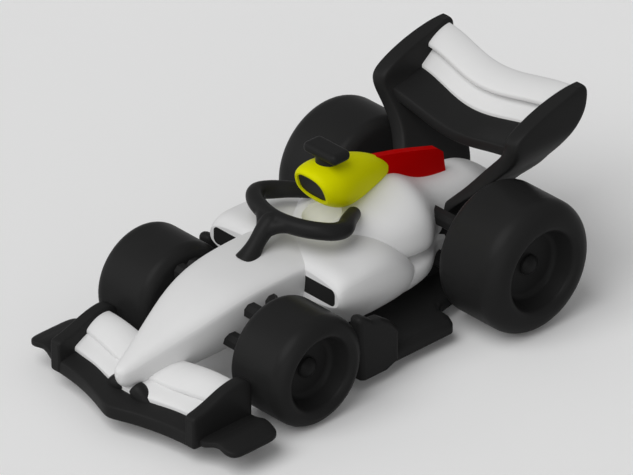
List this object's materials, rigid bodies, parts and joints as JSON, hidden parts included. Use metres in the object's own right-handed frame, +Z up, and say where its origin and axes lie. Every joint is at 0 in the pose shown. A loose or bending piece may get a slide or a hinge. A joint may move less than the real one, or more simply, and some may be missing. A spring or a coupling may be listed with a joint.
{
  "type": "toy open wheel racing car",
  "caption": "Small toy open wheel racing car with a long nose, a halo hoop over the cockpit, front and rear wings, and wheels that spin on domed axle pegs.",
  "frame": {"origin": "on the ground under the middle of the overall length and width", "axes": "+X towards the nose, +Y to the car's left, +Z up"},
  "size_m": [0.0766, 0.0442, 0.03],
  "materials": {
    "black_plastic": "satin black moulded plastic",
    "tyre_plastic": "satin black moulded plastic, smooth tread",
    "white_plastic": "satin white moulded plastic",
    "yellow_plastic": "satin yellow moulded plastic",
    "red_plastic": "satin red moulded plastic"
  },
  "bodies": {
    "chassis": {"body": "white_plastic", "sidepod_inlet_left": "black_plastic", "sidepod_inlet_right": "black_plastic", "floor": "black_plastic", "bargeboard_left": "black_plastic", "bargeboard_right": "black_plastic", "airbox": "yellow_plastic", "airbox_intake": "black_plastic", "camera_pod": "black_plastic", "fin": "red_plastic", "halo": "black_plastic", "front_wing_plane": "black_plastic", "front_flap_lower": "white_plastic", "front_flap_upper_left": "white_plastic", "front_flap_upper_right": "white_plastic", "front_endplate_left": "black_plastic", "front_endplate_right": "black_plastic", "canard_left": "black_plastic", "canard_right": "black_plastic", "front_pylon_left": "black_plastic", "front_pylon_right": "black_plastic", "rear_endplate_left": "black_plastic", "rear_endplate_right": "black_plastic", "rear_wing_plane": "black_plastic", "rear_flap_lower": "white_plastic", "rear_flap_upper": "white_plastic", "front_arm_lower_left": "black_plastic", "front_arm_lower_right": "black_plastic", "front_arm_upper_left": "black_plastic", "front_arm_upper_right": "black_plastic", "front_arm_rear_left": "black_plastic", "front_arm_rear_right": "black_plastic", "rear_arm_upper_left": "black_plastic", "rear_arm_upper_right": "black_plastic", "rear_arm_lower_left": "black_plastic", "rear_arm_lower_right": "black_plastic", "front_axle_peg_left": "black_plastic", "front_axle_peg_right": "black_plastic", "rear_axle_peg_left": "black_plastic", "rear_axle_peg_right": "black_plastic"},
    "front_wheel_left_body": {"front_wheel_left": "tyre_plastic"},
    "front_wheel_right_body": {"front_wheel_right": "tyre_plastic"},
    "rear_wheel_left_body": {"rear_wheel_left": "tyre_plastic"},
    "rear_wheel_right_body": {"rear_wheel_right": "tyre_plastic"}
  },
  "joints": [
    {"name": "front_wheel_left_spin", "type": "hinge", "parent": "chassis", "child": "front_wheel_left_body", "pos_m": [0.01595, 0.0135, 0.0081], "axis": [0, 1, 0], "continuous": true},
    {"name": "front_wheel_right_spin", "type": "hinge", "parent": "chassis", "child": "front_wheel_right_body", "pos_m": [0.01595, -0.0135, 0.0081], "axis": [0, 1, 0], "continuous": true},
    {"name": "rear_wheel_left_spin", "type": "hinge", "parent": "chassis", "child": "rear_wheel_left_body", "pos_m": [-0.02245, 0.0164, 0.0099], "axis": [0, 1, 0], "continuous": true},
    {"name": "rear_wheel_right_spin", "type": "hinge", "parent": "chassis", "child": "rear_wheel_right_body", "pos_m": [-0.02245, -0.0164, 0.0099], "axis": [0, 1, 0], "continuous": true}
  ]
}
